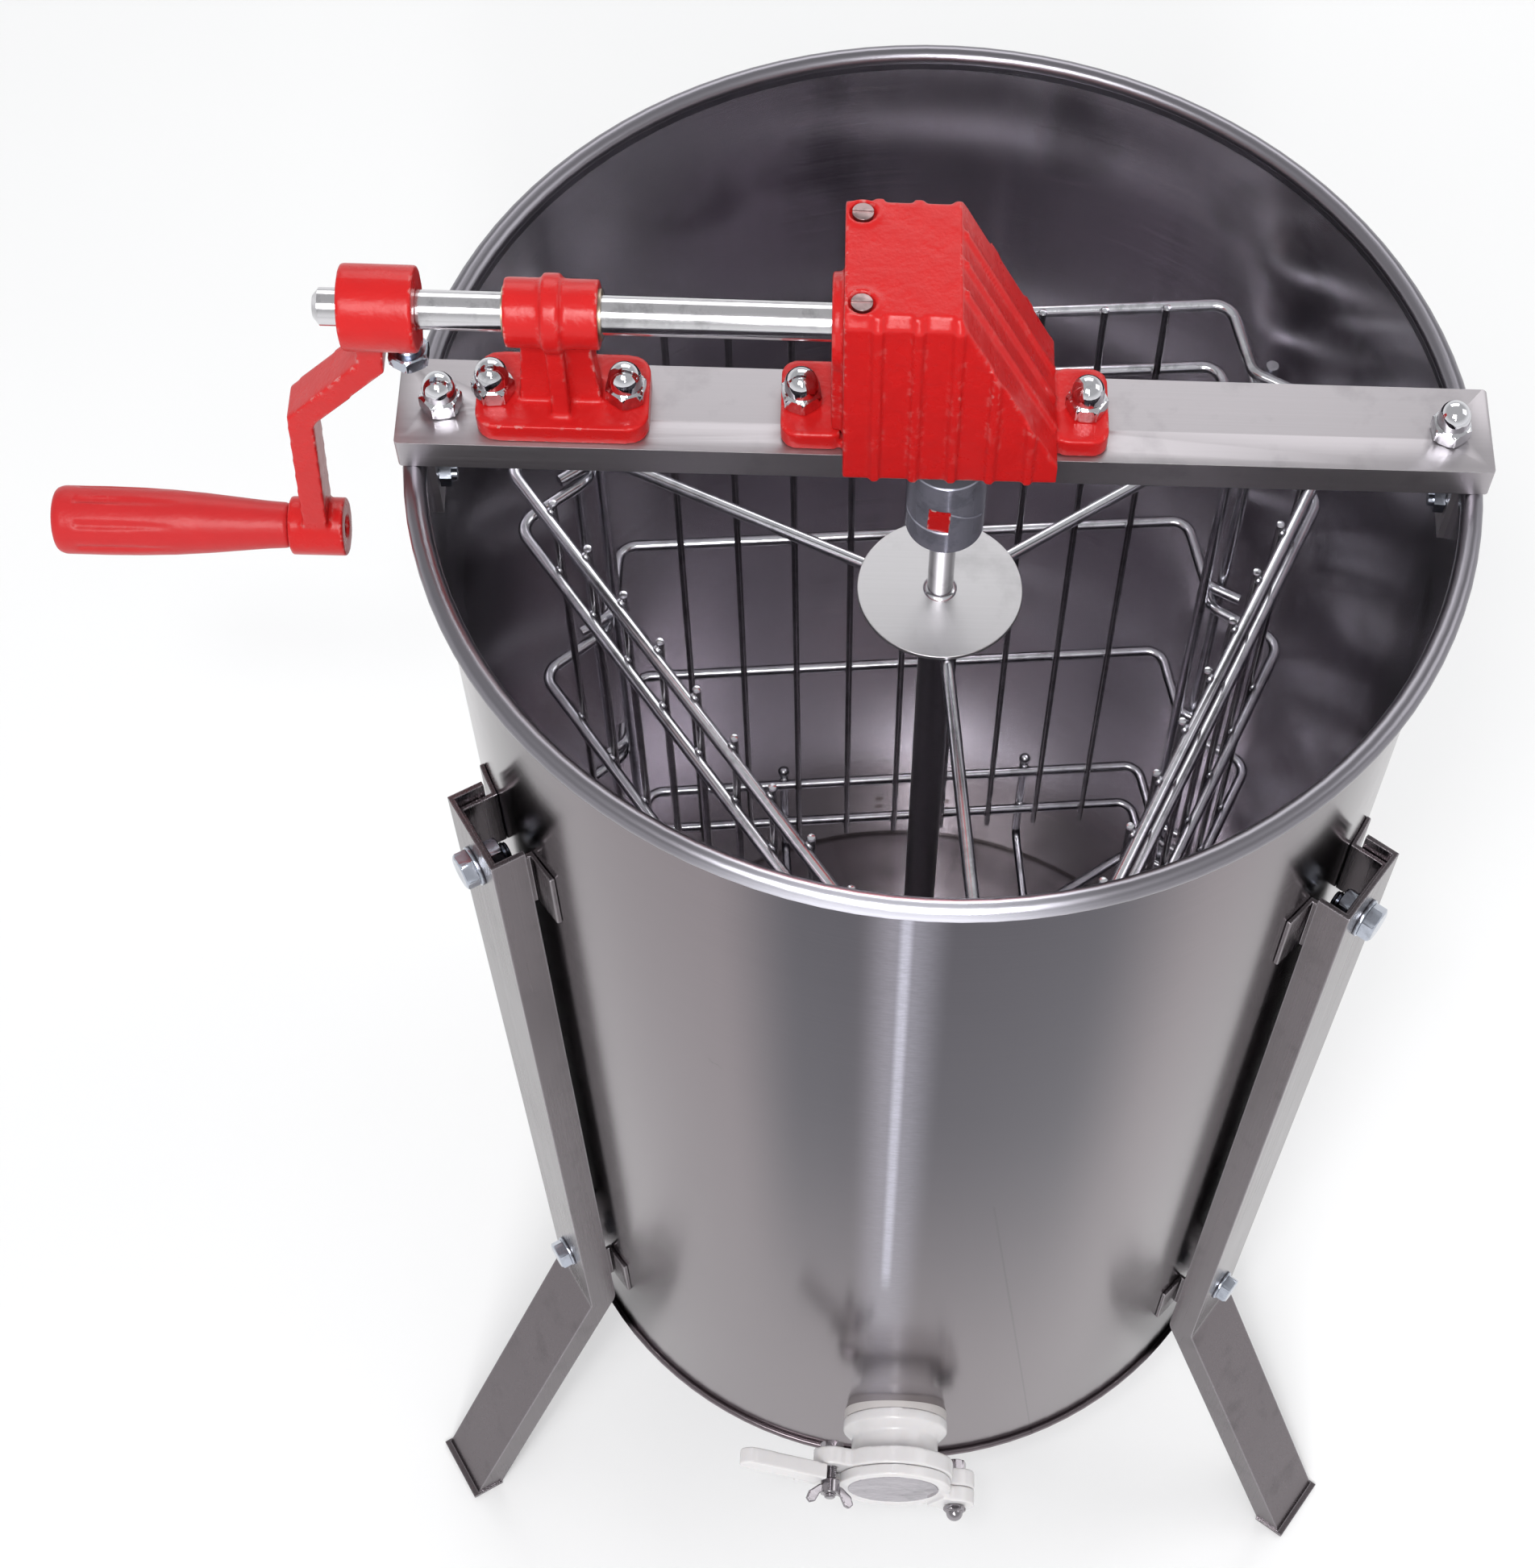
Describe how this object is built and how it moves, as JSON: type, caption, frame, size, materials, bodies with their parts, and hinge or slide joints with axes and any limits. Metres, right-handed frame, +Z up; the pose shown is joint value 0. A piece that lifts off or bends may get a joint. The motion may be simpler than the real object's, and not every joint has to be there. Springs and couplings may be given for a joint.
{
  "type": "honey extractor",
  "caption": "Hand-cranked honey extractor: an open steel drum on splayed channel legs, a bevel-geared crank on a cross bar, a wire basket rotor inside and a swinging honey gate.",
  "frame": {"origin": "on the floor, under the drum's axis, in the middle of the circle that the feet stand on", "axes": "+Z up along the drum's axis, +X along the cross bar away from the crank, so the crank's shaft ends towards -X, and -Y towards the honey gate"},
  "size_m": [0.5762, 0.5332, 0.8727],
  "materials": {
    "drum_steel": "fine vertical brushing with mirror-like reflections",
    "bar_steel": "brushed along the bar",
    "leg_steel": "rolled sheet, satin",
    "red_paint": "glossy enamel on castings",
    "red_grip": "glossy",
    "zinc": "blue zinc plating",
    "chrome": "polished",
    "dark_steel": "blackened",
    "bronze": "turned",
    "shaft_steel": "ground and polished",
    "gear_steel": "machined",
    "disc_steel": "satin sheet",
    "tube_steel": "satin tube",
    "basket_steel": "bright drawn wire",
    "black_plastic": "matt",
    "ivory_plastic": "semi-gloss moulding",
    "seal_rubber": "matt",
    "insert_steel": "polished disc",
    "cup_plastic": "turned"
  },
  "bodies": {
    "stand": {"drum_shell": "drum_steel", "drum_floor": "drum_steel", "cross_bar": "bar_steel", "bar_brackets": "bar_steel", "bracket_screws": "zinc", "bracket_nuts": "zinc", "bar_bolts": "zinc", "acorn_nuts": "chrome", "gearbox_housing": "red_paint", "gearbox_cover": "red_paint", "gearbox_screws": "chrome", "cover_bush": "bronze", "pinion_bush": "bronze", "pillow_block": "red_paint", "pillow_bush": "bronze", "leg_left": "leg_steel", "leg_right": "leg_steel", "leg_back": "leg_steel", "leg_brackets": "leg_steel", "leg_bolts": "zinc", "leg_washers": "zinc", "leg_nuts": "zinc", "pivot_cup": "cup_plastic", "pivot_ball": "shaft_steel", "gate_body": "ivory_plastic", "gate_gasket": "seal_rubber", "gate_lock_nut": "ivory_plastic", "gate_clamp_bolt": "zinc", "gate_pivot_bolt": "zinc", "gate_pivot_nut": "chrome"},
    "basket": {"clutch_lower": "chrome", "drive_dog": "red_paint", "rotor_shaft": "shaft_steel", "hub_disc": "disc_steel", "centre_tube": "tube_steel", "pivot_pin": "shaft_steel", "spokes": "basket_steel", "inner_posts": "basket_steel", "outer_posts": "basket_steel", "post_caps": "black_plastic", "frame_rests": "basket_steel", "rails_back": "basket_steel", "rails_right": "basket_steel", "rails_left": "basket_steel", "wires_back": "basket_steel", "wires_right": "basket_steel", "wires_left": "basket_steel"},
    "pinion_drive": {"pinion": "gear_steel", "pinion_shaft": "shaft_steel", "clutch_upper": "chrome", "clutch_screws": "dark_steel"},
    "crank": {"crank_shaft": "shaft_steel", "crank_arm": "red_paint", "crank_set_bolt": "zinc", "crank_gear": "gear_steel", "grip_pin": "shaft_steel"},
    "grip": {"crank_grip": "red_grip"},
    "blade": {"gate_blade": "ivory_plastic", "gate_insert": "insert_steel"},
    "wing_nut": {"gate_wing_nut": "zinc"}
  },
  "joints": [
    {"name": "basket_spin", "type": "hinge", "parent": "stand", "child": "basket", "pos_m": [0, 0, 0.215], "axis": [0, 0, 1], "continuous": true},
    {"name": "pinion_spin", "type": "hinge", "parent": "stand", "child": "pinion_drive", "pos_m": [0, 0, 0.79], "axis": [0, 0, 1], "continuous": true},
    {"name": "crank_turn", "type": "hinge", "parent": "stand", "child": "crank", "pos_m": [0, 0, 0.84], "axis": [1, 0, 0], "continuous": true},
    {"name": "grip_spin", "type": "hinge", "parent": "crank", "child": "grip", "pos_m": [-0.28, 0, 0.718], "axis": [1, 0, 0], "continuous": true},
    {"name": "gate_swing", "type": "hinge", "parent": "stand", "child": "blade", "pos_m": [0.02596, -0.22306, 0.2011], "axis": [-0.0262, -0.9997, 0], "range_deg": [0, 95]},
    {"name": "wing_nut_turn", "type": "hinge", "parent": "stand", "child": "wing_nut", "pos_m": [-0.03774, -0.22709, 0.2349], "axis": [0.0262, 0.9997, 0], "range_deg": [-180, 180]}
  ],
  "couplings": [
    {"joint": "pinion_spin", "follows": "basket_spin", "ratio": 1},
    {"joint": "crank_turn", "follows": "basket_spin", "ratio": -0.42857}
  ]
}
